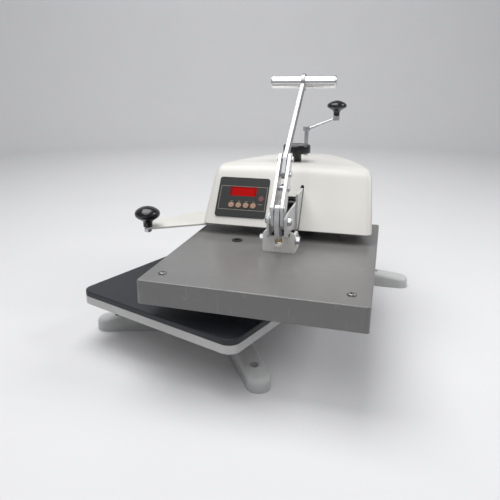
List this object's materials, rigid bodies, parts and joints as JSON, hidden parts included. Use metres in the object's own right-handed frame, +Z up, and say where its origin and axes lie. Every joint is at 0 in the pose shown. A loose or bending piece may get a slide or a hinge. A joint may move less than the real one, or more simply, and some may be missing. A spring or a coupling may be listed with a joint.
{
  "type": "manual heat press",
  "caption": "Manual swing-away heat press: flat heated platen on a folded toggle with a T-grip lever, over a padded table on a four-legged cast base.",
  "frame": {"origin": "on the floor plane, in the middle of the four bench bolt holes", "axes": "+Z up, +Y from the table to the swing post, +X to the right of the person at the table"},
  "size_m": [0.6837, 0.7995, 0.576],
  "materials": {
    "cast_paint": "satin",
    "rubber_black": "matte",
    "table_paint": "satin",
    "pad_rubber": "satin",
    "steel": "satin",
    "zinc_plate": "polished",
    "bronze": "satin",
    "arm_paint": "satin",
    "cover_paint": "satin",
    "shroud_paint": "satin",
    "aluminium": "satin",
    "knob_black": "gloss",
    "panel_charcoal": "satin",
    "display_red": "gloss",
    "button_tan": "matte",
    "lamp_red": "gloss",
    "board_green": "satin",
    "inlet_black": "matte",
    "insulation": "matte"
  },
  "bodies": {
    "base": {"base_casting": "cast_paint", "foot_pads": "rubber_black", "table_pedestal": "cast_paint", "table_screws": "zinc_plate", "table_plate": "table_paint", "table_pad": "pad_rubber", "swing_post": "steel", "post_key": "steel"},
    "lift": {"lift_sleeve": "steel", "thrust_washer": "bronze", "sleeve_cap": "steel"},
    "crank": {"crank_spindle": "zinc_plate", "spindle_collar": "steel", "crank_arm": "zinc_plate", "crank_bolt": "zinc_plate"},
    "crank_knob": {"crank_knob": "knob_black"},
    "head": {"swing_hub": "steel", "arm_plates": "arm_paint", "arm_bolts": "zinc_plate", "guide_blocks": "steel", "guide_bushes": "bronze", "stop_block": "steel", "chassis_plate": "arm_paint", "head_screws": "zinc_plate", "swing_knob": "knob_black", "swing_stud": "zinc_plate", "cover_shell": "cover_paint", "panel_bezel": "panel_charcoal", "display_window": "display_red", "status_lamp": "lamp_red", "controller_board": "board_green", "power_relay": "inlet_black", "power_inlet": "inlet_black", "power_switch": "inlet_black", "pivot_bolt": "zinc_plate"},
    "lever": {"lever_straps": "zinc_plate", "lever_bar": "zinc_plate", "lever_pins": "zinc_plate", "grip_tube": "aluminium", "grip_caps": "aluminium"},
    "link": {"toggle_link": "zinc_plate"},
    "platen": {"platen_shroud": "shroud_paint", "heat_plate": "aluminium", "heating_element": "steel", "insulation_board": "insulation", "strongback": "steel", "platen_screws": "zinc_plate", "pressure_bracket": "zinc_plate", "bracket_bolt": "zinc_plate", "brass_roller": "bronze", "guide_rods": "steel", "cable_grommet": "rubber_black"},
    "stop_foot": {"stop_foot": "rubber_black"},
    "stop_knob": {"stop_stud": "steel", "hand_knob": "knob_black"},
    "button_1": {"button_1": "button_tan"},
    "button_2": {"button_2": "button_tan"},
    "button_3": {"button_3": "button_tan"},
    "button_4": {"button_4": "button_tan"},
    "rocker": {"power_rocker": "inlet_black"}
  },
  "joints": [
    {"name": "head_lift", "type": "slide", "parent": "base", "child": "lift", "axis": [0, 0, 1], "range_m": [0, 0.012]},
    {"name": "crank_turn", "type": "hinge", "parent": "lift", "child": "crank", "pos_m": [0, 0.231, 0.432], "axis": [0, 0, 1], "range_deg": [0, 1440.1]},
    {"name": "crank_knob_spin", "type": "hinge", "parent": "crank", "child": "crank_knob", "pos_m": [0.07368, 0.25659, 0.485], "axis": [0, 0, 1], "continuous": true},
    {"name": "head_swing", "type": "hinge", "parent": "lift", "child": "head", "pos_m": [0, 0.231, 0.28], "axis": [0, 0, 1], "range_deg": [-19.15, 70.85]},
    {"name": "lever_turn", "type": "hinge", "parent": "head", "child": "lever", "pos_m": [0.14464, -0.15808, 0.28], "axis": [0.9447, 0.328, 0], "range_deg": [0, 115]},
    {"name": "link_swing", "type": "hinge", "parent": "lever", "child": "link", "pos_m": [0.14661, -0.16376, 0.30602], "axis": [0.9447, 0.328, 0], "range_deg": [-102.15, 0]},
    {"name": "platen_slide", "type": "slide", "parent": "head", "child": "platen", "axis": [0, 0, 1], "range_m": [-0.03581, 0]},
    {"name": "stop_travel", "type": "slide", "parent": "head", "child": "stop_foot", "axis": [0, 0, -1], "range_m": [0, 0.0035]},
    {"name": "stop_turn", "type": "hinge", "parent": "stop_foot", "child": "stop_knob", "pos_m": [0.05019, 0.08647, 0.395], "axis": [0, 0, -1], "range_deg": [0, 720.1]},
    {"name": "rocker_tilt", "type": "hinge", "parent": "head", "child": "rocker", "pos_m": [-0.10527, 0.07693, 0.276], "axis": [-0.0076, -1, 0], "range_deg": [0, 16]},
    {"name": "button_1_press", "type": "slide", "parent": "head", "child": "button_1", "axis": [-0.2713, 0.7812, -0.5623], "range_m": [0, 0.0015], "stiffness_N_per_m": 400, "springref_m": -0.002},
    {"name": "button_2_press", "type": "slide", "parent": "head", "child": "button_2", "axis": [-0.2713, 0.7812, -0.5623], "range_m": [0, 0.0015], "stiffness_N_per_m": 400, "springref_m": -0.002},
    {"name": "button_3_press", "type": "slide", "parent": "head", "child": "button_3", "axis": [-0.2713, 0.7812, -0.5623], "range_m": [0, 0.0015], "stiffness_N_per_m": 400, "springref_m": -0.002},
    {"name": "button_4_press", "type": "slide", "parent": "head", "child": "button_4", "axis": [-0.2713, 0.7812, -0.5623], "range_m": [0, 0.0015], "stiffness_N_per_m": 400, "springref_m": -0.002}
  ],
  "couplings": [
    {"joint": "crank_turn", "follows": "head_lift", "rad_per_m": 2094.4},
    {"joint": "link_swing", "follows": "lever_turn", "ratio": -0.88816},
    {"joint": "platen_slide", "follows": "lever_turn", "m_per_rad": -0.017836},
    {"joint": "stop_turn", "follows": "stop_travel", "rad_per_m": 3590.4}
  ]
}
